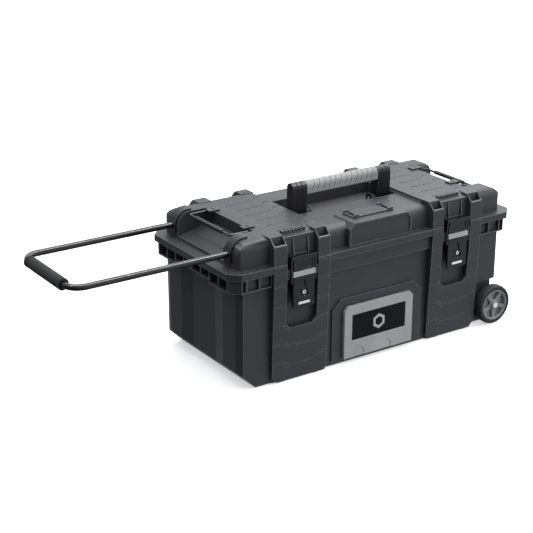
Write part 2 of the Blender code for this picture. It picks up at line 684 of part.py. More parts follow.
def build_end_grip(name, side, lid_pivot):
    """A wire bail with a ribbed sleeve, turning in two clamps at the end of the lid."""
    axis = pivot("end_grip_" + name + "_axis", (side * GRIP_PIVOT_X, 0.0, GRIP_PIVOT_Z))
    hang(lid_pivot, axis)
    axis.rotation_euler.y = math.radians(GRIP_DROOP[name])
    bend = 0.006
    near, far, reach = GRIP_PIVOT_X, WIRE_X, WIRE_HALF_Y
    half = [(near, 0.0585)]
    half += arc(near + bend * 0.5, reach - bend * 0.5, bend * 0.5, 180, 90, 3)
    half += arc(far - bend, reach - bend, bend, 90, 0, 4)
    points = [(x, -y) for x, y in half] + [(x, y) for x, y in reversed(half)]
    path = [(side * x, y, GRIP_PIVOT_Z) for x, y in points]
    wire = swept_tube("end_grip_" + name + "_wire", path, WIRE_RADIUS, 0.0, 12)
    finish(wire, (0.03, 0.03, 0.032), 0.3, 0.3)
    centre = (side * far, GRIP_PIVOT_Z)
    sleeve = round_bar("end_grip_" + name + "_sleeve", centre, 0.0046, -0.0475, 0.0475, "Y", 16)
    bore = round_bar("sleeve_bore", centre, WIRE_RADIUS + GAP, -0.05, 0.05, "Y", 16)
    combine(sleeve, "DIFFERENCE", [bore])
    finish(sleeve, (0.05, 0.05, 0.053), 0.5)
    smooth(wire, sleeve)
    hang(axis, wire, sleeve, bore)
    for place, face in FACES.items():
        outline = [(0.2735, 0.2920), (0.2623, 0.2920), (0.2623, LID_TOP + GAP),
                   (0.2480, LID_TOP + GAP), (0.2480, 0.3030), (0.2735, 0.3030)]
        outline = [(side * x, z) for x, z in outline]
        low, high = sorted((face * 0.0540, face * 0.0710))
        clamp = prism("end_grip_" + name + "_clamp_" + place, outline, low, high, "Y")
        low, high = sorted((face * 0.0575, face * 0.08))
        centre = (side * near, GRIP_PIVOT_Z)
        bore = round_bar("clamp_bore", centre, WIRE_RADIUS + GAP, low, high, "Y", 12)
        combine(clamp, "DIFFERENCE", [bore])
        finish(clamp, (0.045, 0.045, 0.048), 0.5)
        hang(lid_pivot, clamp)


# ---------------------------------------------------------------- latches

def build_latch(name, side):
    """A lever on the tub and a hook on the lever, each on its own pin."""
    middle = side * LATCH_X
    prefix = "latch_" + name + "_"
    lever_axis = pivot(prefix + "lever_axis", (middle, *LATCH_PIVOT))
    hook_axis = pivot(prefix + "hook_axis", (middle, *HOOK_PIVOT))
    hang(lever_axis, hook_axis)

    profile = [(-0.1610, 0.1535), (-0.1610, 0.2172), (-0.1465, 0.2172),
               (-0.1465, 0.2060), (-0.1572, 0.1535)]
    lever = prism(prefix + "lever", profile, middle - 0.0250, middle + 0.0250, "X")
    recess = [(middle - 0.0085, 0.1790), (middle + 0.0085, 0.1790), (middle, 0.2060)]
    lever_cuts = [prism("recess", recess, -0.17, -0.1592, "Y"),
                  round_bar("hook_pin_hole", HOOK_PIVOT, 0.0018, middle - 0.03, middle + 0.03, "X", 12)]
    combine(lever, "DIFFERENCE", lever_cuts)
    finish(lever, (0.015, 0.015, 0.017), 0.35)

    band = box(prefix + "band", (middle - 0.0258, -0.1625, 0.2190), (middle + 0.0258, -0.1470, 0.2290))
    bore = round_bar("band_bore", LATCH_PIVOT, 0.0022, middle - 0.03, middle + 0.03, "X", 12)
    combine(band, "DIFFERENCE", [bore])
    finish(band, (0.45, 0.45, 0.46), 0.4)

    hook = box(prefix + "hook", (middle - 0.0235, -0.1610, 0.2308), (middle + 0.0235, -0.1500, 0.2585))
    bar = box("hook_bar", (middle - 0.0294, -0.1625, 0.2545), (middle + 0.0294, -0.1488, 0.2600))
    arms = [bar]
    for hand in (-1, 1):
        low, high = mirrored(0.0264, 0.0294, hand)
        arms.append(box("hook_arm", (middle + low, -0.1605, 0.2065), (middle + high, -0.1556, 0.2560)))
    combine(hook, "UNION", arms)
    bore = round_bar("arm_hole", HOOK_PIVOT, 0.0018, middle - 0.035, middle + 0.035, "X", 12)
    combine(hook, "DIFFERENCE", [bore])
    finish(hook, (0.014, 0.014, 0.016), 0.3)

    low, high = middle - 0.0345, middle + 0.0345
    lever_pin = round_bar(prefix + "lever_pin", LATCH_PIVOT, 0.0019, low, high, "X", 12)
    low, high = middle - 0.0293, middle + 0.0293
    hook_pin = round_bar(prefix + "hook_pin", HOOK_PIVOT, 0.0015, low, high, "X", 12)
    for pin in (lever_pin, hook_pin):
        finish(pin, (0.6, 0.6, 0.61), 0.25, 1.0)
    eye = round_bar(prefix + "padlock_eye", (middle, 0.1850), 0.0040, -0.1624, -0.1592 - GAP, "Y", 16)
    combine(eye, "DIFFERENCE", [round_bar("eye_hole", (middle, 0.1850), 0.0018, -0.17, -0.15, "Y", 12)])
    finish(eye, (0.75, 0.75, 0.76), 0.2, 1.0)
    plate = box(prefix + "pull_plate", (middle - 0.0135, -0.1622, 0.1610),
                (middle + 0.0135, -0.1610 - GAP, 0.1660))
    finish(plate, (0.65, 0.65, 0.66), 0.3, 0.8)
    hang(lever_axis, lever, band, hook_pin, eye, plate)
    hang(hook_axis, hook)


# ---------------------------------------------------------------- wheels

def build_wheels():
    axle = round_bar("wheel_axle", (WHEEL_X, WHEEL_Z), AXLE_RADIUS, -0.1622, 0.1622, "Y", 16)
    finish(axle, (0.55, 0.55, 0.56), 0.3, 1.0)
    for name, face in FACES.items():
        centre = (WHEEL_X, face * (WHEEL_FACE_Y - WHEEL_WIDTH / 2), WHEEL_Z)
        spin_axis = pivot("wheel_" + name + "_axis", centre)
        half = WHEEL_WIDTH / 2
        tread = [(0.0337, -half + 0.0012), (0.0390, -half), (0.0422, -half + 0.0028),
                 (WHEEL_RADIUS, -0.004), (WHEEL_RADIUS, 0.004), (0.0422, half - 0.0028),
                 (0.0390, half), (0.0337, half - 0.0012)]
        tyre = turned("wheel_tyre_" + name, tread, centre, 40)
        finish(tyre, (0.035, 0.035, 0.037), 0.8)
        side = half - 0.0008
        bore = AXLE_RADIUS + 0.0004
        body = [(bore, -side), (0.0334, -side), (0.0334, side), (bore, side)]
        hub = turned("wheel_hub_" + name, body, centre, 40)
        cuts = []
        for spoke in range(6):
            turn = 60 * spoke + 30
            sector = [(0.0140, -20), (0.0275, -24), (0.0275, 0), (0.0275, 24), (0.0140, 20)]
            outline = []
            for radius, spread in sector:
                angle = math.radians(turn + spread)
                outline.append((centre[0] + radius * math.cos(angle), centre[2] + radius * math.sin(angle)))
            for hand in (-1, 1):
                low, high = sorted((centre[1] + hand * 0.003, centre[1] + hand * 0.02))
                cuts.append(prism("hub_pocket", outline, low, high, "Y"))
        combine(hub, "DIFFERENCE", cuts)
        finish(hub, (0.16, 0.16, 0.17), 0.5)
        smooth(tyre, hub)
        low, high = sorted((face * (0.1622 + GAP), face * 0.1645))
        cap = round_bar("axle_cap_" + name, (WHEEL_X, WHEEL_Z), 0.0060, low, high, "Y", 16)
        finish(cap, (0.7, 0.7, 0.71), 0.2, 1.0)
        hang(spin_axis, tyre, hub)


def main():
    clear_scene()
    build_tub()
    lid_pivot = pivot("lid_axis", (0.0, HINGE_Y, HINGE_Z))
    hang(lid_pivot, build_lid())
    build_hinge_pins()
    build_badge()
    build_carry_handle(lid_pivot)
    build_pull_handle(lid_pivot)
    for name, side in SIDES.items():
        build_end_grip(name, side, lid_pivot)
        build_latch(name, side)
    build_wheels()


main()
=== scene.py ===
import json
import math

import bmesh
import bpy
from mathutils import Matrix, Vector


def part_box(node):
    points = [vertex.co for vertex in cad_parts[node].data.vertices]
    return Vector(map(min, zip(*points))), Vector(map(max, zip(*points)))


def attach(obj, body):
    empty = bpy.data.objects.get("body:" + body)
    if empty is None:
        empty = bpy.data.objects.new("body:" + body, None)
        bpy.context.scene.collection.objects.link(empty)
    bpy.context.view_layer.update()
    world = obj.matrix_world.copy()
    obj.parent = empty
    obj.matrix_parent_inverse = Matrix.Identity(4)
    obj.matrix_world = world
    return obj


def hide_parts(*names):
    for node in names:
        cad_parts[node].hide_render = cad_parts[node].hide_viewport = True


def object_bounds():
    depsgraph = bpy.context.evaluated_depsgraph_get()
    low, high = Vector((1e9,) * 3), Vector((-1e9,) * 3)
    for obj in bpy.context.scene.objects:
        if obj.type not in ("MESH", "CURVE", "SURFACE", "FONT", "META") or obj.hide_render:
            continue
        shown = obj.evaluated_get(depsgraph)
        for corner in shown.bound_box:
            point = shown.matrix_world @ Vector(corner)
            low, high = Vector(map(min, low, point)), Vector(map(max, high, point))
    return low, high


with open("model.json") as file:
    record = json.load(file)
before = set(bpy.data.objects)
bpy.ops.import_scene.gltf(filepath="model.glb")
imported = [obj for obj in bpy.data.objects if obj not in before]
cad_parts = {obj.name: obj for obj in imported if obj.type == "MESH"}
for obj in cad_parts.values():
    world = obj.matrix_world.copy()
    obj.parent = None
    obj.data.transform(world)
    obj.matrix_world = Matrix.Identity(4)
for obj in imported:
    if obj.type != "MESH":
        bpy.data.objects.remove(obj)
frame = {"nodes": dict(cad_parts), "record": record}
cad_low, cad_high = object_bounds()

# ------------------------------------------------------------------ the room
# A pale matt floor under the feet and tyres, a surround that is brightest overhead and
# beyond the wheel end, one soft lamp overhead, and a narrow strip seen only in reflections.
FLOOR_HALF = 9.0
FLOOR_GAP = 0.0001
floor_shape = bmesh.new()
bmesh.ops.create_grid(floor_shape, x_segments=1, y_segments=1, size=FLOOR_HALF)
bmesh.ops.translate(floor_shape, verts=floor_shape.verts, vec=(0, 0, cad_low.z - FLOOR_GAP))
floor_mesh = bpy.data.meshes.new("floor")
floor_shape.to_mesh(floor_mesh)
floor_shape.free()
floor = bpy.data.objects.new("floor", floor_mesh)
bpy.context.scene.collection.objects.link(floor)
floor.visible_diffuse = False
floor.visible_glossy = False

floor_paint = bpy.data.materials.new("pale_floor")
floor_paint.use_nodes = True
paint_nodes = floor_paint.node_tree.nodes
paint_links = floor_paint.node_tree.links
paint = paint_nodes["Principled BSDF"]
paint.inputs["Roughness"].default_value = 0.9
paint.inputs["Specular IOR Level"].default_value = 0.1
mottle = paint_nodes.new("ShaderNodeTexNoise")
mottle.inputs["Scale"].default_value = 40.0
tint = paint_nodes.new("ShaderNodeValToRGB")
tint.color_ramp.elements[0].color = (0.93, 0.93, 0.93, 1)
tint.color_ramp.elements[1].color = (0.96, 0.96, 0.96, 1)
paint_links.new(mottle.outputs["Fac"], tint.inputs["Fac"])
paint_links.new(tint.outputs["Color"], paint.inputs["Base Color"])
paint_links.new(tint.outputs["Color"], paint.inputs["Emission Color"])
paint.inputs["Emission Strength"].default_value = 0.5
floor.data.materials.append(floor_paint)

surround = bpy.data.worlds.new("white_surround")
surround.use_nodes = True
backdrop = surround.node_tree.nodes["Background"]
backdrop.inputs["Color"].default_value = (0.96, 0.98, 1.0, 1)
outward = surround.node_tree.nodes.new("ShaderNodeTexCoord")
towards_window = surround.node_tree.nodes.new("ShaderNodeVectorMath")
towards_window.operation = "DOT_PRODUCT"
towards_window.inputs[1].default_value = Vector((0.64, 0.12, 0.66)).normalized()
surround.node_tree.links.new(outward.outputs["Generated"], towards_window.inputs[0])
fall_off = surround.node_tree.nodes.new("ShaderNodeMapRange")
fall_off.interpolation_type = "SMOOTHSTEP"
fall_off.inputs["From Min"].default_value = -0.80
fall_off.inputs["From Max"].default_value = 1.0
fall_off.inputs["To Min"].default_value = 0.11
fall_off.inputs["To Max"].default_value = 1.62
surround.node_tree.links.new(towards_window.outputs["Value"], fall_off.inputs["Value"])
surround.node_tree.links.new(fall_off.outputs["Result"], backdrop.inputs["Strength"])
bpy.context.scene.world = surround
bpy.context.scene.view_settings.view_transform = "Standard"


def soft_panel(name, place, aim, size, power):
    """A rectangular lamp at a place, turned towards a point."""
    lamp = bpy.data.lights.new(name, "AREA")
    lamp.shape = "RECTANGLE"
    lamp.size, lamp.size_y = size
    lamp.energy = power
    holder = bpy.data.objects.new(name, lamp)
    holder.location = place
    towards = Vector(aim) - Vector(place)
    holder.rotation_euler = towards.to_track_quat("-Z", "Y").to_euler()
    bpy.context.scene.collection.objects.link(holder)
    return holder


soft_panel("overhead_panel", (0.85, 0.25, 1.35), (0.15, 0, 0.3), (1.3, 1.3), 14)
strip = soft_panel("reflected_strip", (-0.35, -0.15, 1.7), (-0.3, 0, 0.25), (2.4, 0.16), 55)
strip.visible_diffuse = False

LOOKS_DOWN, TURNED = 20.795, -33.952
lens = bpy.data.cameras.new("camera")
lens.sensor_width = 36
lens.lens = 91.92
camera = bpy.data.objects.new("camera", lens)
camera.location = (-1.61371, -2.13921, 1.16070)
camera.rotation_euler = (math.radians(90 - LOOKS_DOWN), 0, math.radians(TURNED))
bpy.context.scene.collection.objects.link(camera)
bpy.context.scene.camera = camera

# ------------------------------------------------------------------ tub
# The tub is one injection moulding in charcoal polypropylene with a fine spark-eroded
# texture. Shallow grooves run across the corner blocks as a tread pattern.
CHARCOAL = (0.039, 0.0392, 0.0475)
# The outer-edge tone below is partly wear and partly a painted bluish highlight.
RUBBED_AND_HIGHLIT = (0.250, 0.266, 0.310)


def moulding(name, colour, roughness, grain, depth, edge, rounding=0.0008, sheen=0.3,
             reach=0.0016):
    """Fine texture, faint flow marks, painted shade in creases, and outer edges in a lighter tone
    that is partly wear and partly a painted highlight.
    """
    material = bpy.data.materials.new(name)
    material.use_nodes = True
    nodes, links = material.node_tree.nodes, material.node_tree.links
    shader = nodes["Principled BSDF"]
    shader.inputs["IOR"].default_value = 1.49
    shader.inputs["Specular IOR Level"].default_value = sheen
    place = nodes.new("ShaderNodeTexCoord")
    texture = nodes.new("ShaderNodeTexNoise")
    texture.inputs["Scale"].default_value = grain
    texture.inputs["Detail"].default_value = 3.0
    links.new(place.outputs["Object"], texture.inputs["Vector"])
    flow = nodes.new("ShaderNodeTexNoise")
    flow.inputs["Scale"].default_value = 11.0
    flow.inputs["Detail"].default_value = 6.0
    flow.inputs["Roughness"].default_value = 0.66
    links.new(place.outputs["Object"], flow.inputs["Vector"])
    rounded = nodes.new("ShaderNodeBevel")
    rounded.samples = 6
    rounded.inputs["Radius"].default_value = rounding
    bump = nodes.new("ShaderNodeBump")
    bump.inputs["Strength"].default_value = depth
    bump.inputs["Distance"].default_value = 0.0003
    links.new(texture.outputs["Fac"], bump.inputs["Height"])
    links.new(rounded.outputs["Normal"], bump.inputs["Normal"])
    links.new(bump.outputs["Normal"], shader.inputs["Normal"])
    # Seen from inside the wall, only an outer edge is close to other surfaces; such edges take
    # the edge tone, which is partly wear and partly a painted highlight.
    thin = nodes.new("ShaderNodeAmbientOcclusion")
    thin.inside = True
    thin.only_local = True
    thin.samples = 6
    thin.inputs["Distance"].default_value = reach
    rubbed_and_highlit = nodes.new("ShaderNodeMapRange")
    rubbed_and_highlit.inputs["From Min"].default_value = 0.90
    rubbed_and_highlit.inputs["From Max"].default_value = 0.45
    links.new(thin.outputs["AO"], rubbed_and_highlit.inputs["Value"])
    patchy_wear_and_highlight = nodes.new("ShaderNodeMath")
    patchy_wear_and_highlight.operation = "MULTIPLY"
    links.new(rubbed_and_highlit.outputs["Result"], patchy_wear_and_highlight.inputs[0])
    tone = nodes.new("ShaderNodeMapRange")
    tone.inputs["From Min"].default_value = 0.3
    tone.inputs["From Max"].default_value = 0.7
    tone.inputs["To Min"].default_value = 0.88
    tone.inputs["To Max"].default_value = 1.14
    links.new(flow.outputs["Fac"], tone.inputs["Value"])
    links.new(tone.outputs["Result"], patchy_wear_and_highlight.inputs[1])
    body = nodes.new("ShaderNodeVectorMath")
    body.operation = "SCALE"
    body.inputs[0].default_value = colour
    links.new(tone.outputs["Result"], body.inputs["Scale"])
    # Painted shade: creases, grooves and recesses are darkened where other surfaces stand close.
    crease = nodes.new("ShaderNodeAmbientOcclusion")
    crease.only_local = True
    crease.samples = 6
    crease.inputs["Distance"].default_value = 0.0028
    painted_crease_shade = nodes.new("ShaderNodeMapRange")
    painted_crease_shade.inputs["From Min"].default_value = 0.25
    painted_crease_shade.inputs["From Max"].default_value = 0.85
    painted_crease_shade.inputs["To Min"].default_value = 0.12
    links.new(crease.outputs["AO"], painted_crease_shade.inputs["Value"])
    crease_shaded_colour = nodes.new("ShaderNodeVectorMath")
    crease_shaded_colour.operation = "SCALE"
    links.new(painted_crease_shade.outputs["Result"], crease_shaded_colour.inputs["Scale"])
    worn_and_highlit = nodes.new("ShaderNodeMix")
    worn_and_highlit.data_type = "RGBA"
    worn_and_highlit.inputs["B"].default_value = (*edge, 1)
    links.new(patchy_wear_and_highlight.outputs["Value"], worn_and_highlit.inputs["Factor"])
    links.new(body.outputs["Vector"], worn_and_highlit.inputs["A"])
    links.new(worn_and_highlit.outputs["Result"], crease_shaded_colour.inputs[0])
    links.new(crease_shaded_colour.outputs["Vector"], shader.inputs["Base Color"])
    gloss = nodes.new("ShaderNodeMapRange")
    gloss.inputs["To Min"].default_value = roughness - 0.05
    gloss.inputs["To Max"].default_value = roughness + 0.07
    links.new(flow.outputs["Fac"], gloss.inputs["Value"])
    links.new(gloss.outputs["Result"], shader.inputs["Roughness"])
    return material


def dress(piece, material):
    """Gives a piece one material."""
    piece.data.materials.clear()
    piece.data.materials.append(material)


def settle(name, shape):
    """Makes an object of a bmesh."""
    mesh = bpy.data.meshes.new(name)
    shape.to_mesh(mesh)
    shape.free()
    piece = bpy.data.objects.new(name, mesh)
    bpy.context.scene.collection.objects.link(piece)
    return piece


def fit(piece, body, material, slot, *nodes):
    """Finishes a piece: its material, the body it moves with and the nodes it stands for."""
    dress(piece, material)
    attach(piece, body)
    if nodes:
        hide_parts(*nodes)


def merged_copy(node, name):
    """A copy of a frame node with its triangles joined into whole faces."""
    shape = bmesh.new()
    shape.from_mesh(frame["nodes"][node].data)
    bmesh.ops.remove_doubles(shape, verts=shape.verts, dist=1e-6)
    bmesh.ops.dissolve_limit(shape, angle_limit=0.002, verts=shape.verts, edges=shape.edges)
    return settle(name, shape)


def swell(shape, faces, step):
    """Sweeps flat faces into a solid along a step."""
    grown = bmesh.ops.extrude_face_region(shape, geom=faces)["geom"]
    moved = [part for part in grown if isinstance(part, bmesh.types.BMVert)]
    bmesh.ops.translate(shape, verts=moved, vec=step)


def groove(shape, points, across, deep):
    """A channel cutter along a line of points: as wide as across and as deep as deep."""
    corners = [shape.verts.new(point) for point in points]
    line = [shape.edges.new(pair) for pair in zip(corners, corners[1:])]
    ribbon = bmesh.ops.extrude_edge_only(shape, edges=line)["geom"]
    moved = [part for part in ribbon if isinstance(part, bmesh.types.BMVert)]
    bmesh.ops.translate(shape, verts=moved, vec=across)
    swell(shape, [part for part in ribbon if isinstance(part, bmesh.types.BMFace)], deep)


def slab(shape, outline, step):
    """A flat outline swept along a step."""
    face = shape.faces.new([shape.verts.new(point) for point in outline])
    swell(shape, [face], step)


def carve(piece, shape, operation="DIFFERENCE"):
    """Cuts a bmesh out of a piece, or joins it on, and keeps the result as plain mesh."""
    bmesh.ops.recalc_face_normals(shape, faces=shape.faces)
    tool = settle("tool", shape)
    step = piece.modifiers.new("carve", "BOOLEAN")
    step.operation = operation
    step.object = tool
    step.solver = "EXACT"
    step.use_self = True
    seen = piece.evaluated_get(bpy.context.evaluated_depsgraph_get())
    piece.data = bpy.data.meshes.new_from_object(seen)
    piece.modifiers.clear()
    bpy.data.objects.remove(tool)


polypropylene = moulding("charcoal_polypropylene", CHARCOAL, roughness=0.46, grain=1500,
                         depth=0.35, edge=RUBBED_AND_HIGHLIT, rounding=0.0005, sheen=0.35, reach=0.0012)
BLOCK_PITCH = 0.391
FOOT_Y, WALL_LEAN, WALL_HEIGHT, GROOVE_DEPTH = 0.1487, 0.0098, 0.2467, 0.0016
GROOVE_WIDTH = Vector((0, 0, 0.0023))
NOTCH_WIDTH = Vector((0.0028, 0, 0.0010))
STRAIGHT_ROWS = (0.243, 0.204, 0.162)
ROW_ENDS = ((-0.2625, -0.2310), (-0.1585, -0.1285))
BENT_ROWS = (0.122, 0.0815, 0.041)
ROW_STEPS = ((-0.2625, 0), (-0.235, 0), (-0.220, -0.008), (-0.164, -0.008), (-0.148, 0),
             (-0.1285, 0))
NOTCH = ((-0.237, 0.0018), (-0.2235, 0.0145))


def groove_floor(face, height):
    """The y of a tread groove's floor on the leaning front or back of a block."""
    return face * (FOOT_Y + WALL_LEAN * height / WALL_HEIGHT - GROOVE_DEPTH)


tub = merged_copy("tub_shell", "tub")
tread = bmesh.new()
for face in (-1, 1):
    outward_step = Vector((0, face * 0.03, 0))
    for shift in (0.0, BLOCK_PITCH):
        for height in STRAIGHT_ROWS:
            skin = groove_floor(face, height)
            for low, high in ROW_ENDS:
                line = [Vector((low + shift, skin, height)), Vector((high + shift, skin, height))]
                groove(tread, line, GROOVE_WIDTH, outward_step)
        for height in BENT_ROWS:
            skin = groove_floor(face, height)
            line = [Vector((x + shift, skin, height + z)) for x, z in ROW_STEPS]
            groove(tread, line, GROOVE_WIDTH, outward_step)
            notch = [Vector((x + shift, skin, height - drop)) for x, drop in NOTCH]
            groove(tread, notch, NOTCH_WIDTH, outward_step)

# The feet of the blocks are cut back at a slant: each cut has a toe, a heel and an overrun.
FOOT_CUTS = ((0.2625, 0.2500, 0.01), (0.1285, 0.1340, -0.01))
CUT_Y, CUT_TOP, CUT_FOOT = 0.1445, 0.0145, -0.0005
# The two upright edges at the pull-handle end are chamfered along these (x, y) points.
CHAMFER = ((0.3300, 0.1375), (0.3300, 0.1450), (0.3240, 0.1450))
for face in (-1, 1):
    for side in (-1, 1):
        for toe, heel, overrun in FOOT_CUTS:
            corner = [(side * toe, face * CUT_Y, CUT_TOP), (side * heel, face * CUT_Y, CUT_FOOT),
                      (side * (toe + overrun), face * CUT_Y, CUT_FOOT)]
            slab(tread, corner, Vector((0, face * 0.02, 0)))
    slab(tread, [(-x, face * y, -0.01) for x, y in CHAMFER], Vector((0, 0, 0.21)))
carve(tub, tread)
fit(tub, "tub", polypropylene, "body_plastic", "tub_shell")

# ------------------------------------------------------------------ hinge pins
# Two zinc-plated steel rods join the lid to the tub, one behind each pair of pillars.
# They are pressed in from the side and turn in the lid's barrel. The wheel axle has the
# same plating.
zinc = moulding("zinc_plated_steel", (0.55, 0.55, 0.56), roughness=0.28, grain=700,
                depth=0.08, edge=(0.75, 0.75, 0.76), rounding=0.0003, sheen=0.5)
zinc.node_tree.nodes["Principled BSDF"].inputs["Metallic"].default_value = 1.0
for name in ("lid_hinge_pin_left", "lid_hinge_pin_right", "wheel_axle"):
    dress(frame["nodes"][name], zinc)

# ------------------------------------------------------------------ badge
# A mid-grey clipped frame on the raised front pad holds a smooth black panel. The frame
# has two round finger dents at its foot; the panel carries only a plain nut sign.
grey_frame = moulding("grey_frame", (0.40, 0.40, 0.405), roughness=0.40, grain=1100,
                      depth=0.10, edge=(0.50, 0.50, 0.50), rounding=0.0006, sheen=0.5)
panel_black = moulding("panel_black", (0.0022, 0.0022, 0.0034), roughness=0.30, grain=500,
                       depth=0.02, edge=(0.006, 0.006, 0.007), rounding=0.0003, sheen=0.12)
sign_grey = moulding("sign_grey", (0.42, 0.42, 0.42), roughness=0.45, grain=900,
                     depth=0.05, edge=(0.5, 0.5, 0.5), rounding=0.0002)
DENT_PLACES = (-0.050, 0.020)
DENT_RADIUS, DENT_DEPTH, DENT_HEIGHT = 0.0135, 0.0010, 0.0065
SIGN_RADIUS, SIGN_WIDTH, SIGN_THICKNESS, SIGN_SUNK = 0.0165, 0.0055, 0.0007, 0.0002
FACE_FRONT = Matrix.Rotation(math.pi / 2, 3, "X")


def bevelled(piece, width, segments=2, angle=30):
    """Rounds a piece's sharp edges and keeps its flat faces flat."""
    round_off = piece.modifiers.new("edges", "BEVEL")
    round_off.width = width
    round_off.segments = segments
    round_off.limit_method = "ANGLE"
    round_off.angle_limit = math.radians(angle)


badge = merged_copy("badge_frame", "badge")
badge_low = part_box("badge_frame")[0]
dents = bmesh.new()
for middle in DENT_PLACES:
    dent = bmesh.ops.create_circle(dents, cap_ends=True, segments=32, radius=DENT_RADIUS)["verts"]
    bmesh.ops.rotate(dents, verts=dent, matrix=FACE_FRONT)
    bmesh.ops.translate(dents, verts=dent,
                        vec=(middle, badge_low[1] + DENT_DEPTH, badge_low[2] + DENT_HEIGHT))
    swell(dents, list(dent[0].link_faces), Vector((0, -0.004, 0)))
carve(badge, dents)
bevelled(badge, 0.0010, 3)
fit(badge, "tub", grey_frame, "grey_plastic", "badge_frame")
dress(frame["nodes"]["badge_panel"], panel_black)

panel_low, panel_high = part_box("badge_panel")
sign = bmesh.new()
bmesh.ops.create_circle(sign, cap_ends=True, segments=6, radius=SIGN_RADIUS)
rim = bmesh.ops.inset_region(sign, faces=sign.faces[:], thickness=SIGN_WIDTH,
                             use_boundary=True, use_even_offset=True)["faces"]
bmesh.ops.delete(sign, geom=[face for face in sign.faces if face not in rim], context="FACES")
swell(sign, sign.faces[:], Vector((0, 0, SIGN_THICKNESS)))
bmesh.ops.rotate(sign, verts=sign.verts, matrix=FACE_FRONT)
bmesh.ops.translate(sign, verts=sign.verts,
                    vec=((panel_low[0] + panel_high[0]) / 2, panel_low[1] + SIGN_SUNK,
                         (panel_low[2] + panel_high[2]) / 2))
bmesh.ops.recalc_face_normals(sign, faces=sign.faces)
nut_sign = settle("nut_sign", sign)
fit(nut_sign, "tub", sign_grey, "panel")

# ------------------------------------------------------------------ lid
# The lid is a second moulding in the same plastic, hollow underneath. Its end panels
# carry a tread of zig-zag grooves and a sloping pad each, and four small corners stand on
# the front boss.
PANEL_PITCH, PANEL_EDGE = 0.389, 0.2585
TREAD_LINES = (0.1075, 0.0715, 0.0355, -0.0010, -0.0373, -0.0735, -0.1090)
TREAD_STEPS = ((-0.2390, 0.019), (-0.2265, 0.0), (-0.1620, 0.0), (-0.1475, 0.0165),
               (-0.1325, 0.0165))
TREAD_WIDTH = Vector((0.0012, -0.0027, 0))
TREAD_FLOOR, BOSS_FLOOR, SEAM_FLOOR = 0.2984, 0.2978, 0.2922
RISE = Vector((0, 0, 0.01))


def block(shape, low, high):
    """A box between two corners."""
    low, high = Vector(low), Vector(high)
    made = bmesh.ops.create_cube(shape, size=1.0)["verts"]
    bmesh.ops.scale(shape, verts=made, vec=high - low)
    bmesh.ops.translate(shape, verts=made, vec=(low + high) / 2)


def shade(piece, angle=26):
    """Shades curved runs smoothly while large flat faces keep their own direction."""
    piece.data.shade_smooth()
    piece.data.set_sharp_from_angle(angle=math.radians(angle))
    flats = piece.modifiers.new("flats", "WEIGHTED_NORMAL")
    flats.mode = "FACE_AREA"
    flats.weight = 50
    flats.keep_sharp = True


lid = merged_copy("lid_shell", "lid")
tread = bmesh.new()
for shift in (0.0, PANEL_PITCH):
    for line_y in TREAD_LINES:
        line = [Vector((min(x + shift, PANEL_EDGE), line_y + y, TREAD_FLOOR))
                for x, y in TREAD_STEPS]
        groove(tread, line, TREAD_WIDTH, RISE)
for line_y in (-0.1000, -0.1150):
    slot_ends = [Vector((-0.034, line_y, BOSS_FLOOR)), Vector((0.034, line_y, BOSS_FLOOR))]
    groove(tread, slot_ends, Vector((0, 0.0012, 0)), RISE)
cross_seam = [Vector((-0.0730, -0.1180, SEAM_FLOOR)), Vector((-0.0730, -0.0640, SEAM_FLOOR))]
groove(tread, cross_seam, Vector((0.0011, 0, 0)), RISE)
long_seam = [Vector((-0.1250, -0.0630, SEAM_FLOOR)), Vector((0.1250, -0.0630, SEAM_FLOOR))]
groove(tread, long_seam, Vector((0, 0.0011, 0)), RISE)
carve(lid, tread)

PAD_OUTLINE = ((0.2625, 0.2600), (0.2625, 0.2755), (0.2840, 0.2672), (0.3030, 0.2625),
               (0.3060, 0.2570))
PAD_START, PAD_LENGTH = -0.0440, 0.0980
CORNER_X = (0.0360, 0.0496)
CORNER_Y = ((-0.1247, -0.1217), (-0.0913, -0.0883))
CORNER_FOOT, CORNER_TOP = 0.2960, 0.3022
raised = bmesh.new()
for side in (-1, 1):
    slab(raised, [(side * x, PAD_START, z) for x, z in PAD_OUTLINE], Vector((0, PAD_LENGTH, 0)))
    low, high = sorted((side * CORNER_X[0], side * CORNER_X[1]))
    for y_low, y_high in CORNER_Y:
        block(raised, (low, y_low, CORNER_FOOT), (high, y_high, CORNER_TOP))
carve(lid, raised, "UNION")
shade(lid)
fit(lid, "lid", polypropylene, "body_plastic", "lid_shell")

# ------------------------------------------------------------------ carry handle
# Two black nylon posts with slotted crowns carry a bar. A light grey soft grip with
# slanting ribs is moulded over the bar, and each post turns on a pin in the lid.
black_nylon = moulding("black_nylon", (0.009, 0.009, 0.011), roughness=0.30, grain=900,
                       depth=0.10, edge=(0.075, 0.078, 0.09), rounding=0.0006, sheen=0.4,
                       reach=0.0008)
soft_grey = moulding("soft_grey_rubber", (0.31, 0.31, 0.315), roughness=0.55, grain=1300,
                     depth=0.25, edge=(0.50, 0.50, 0.51), rounding=0.0007)
core_black = moulding("core_black", (0.02, 0.02, 0.022), roughness=0.4, grain=900,
                      depth=0.1, edge=(0.06, 0.06, 0.065), rounding=0.0004)


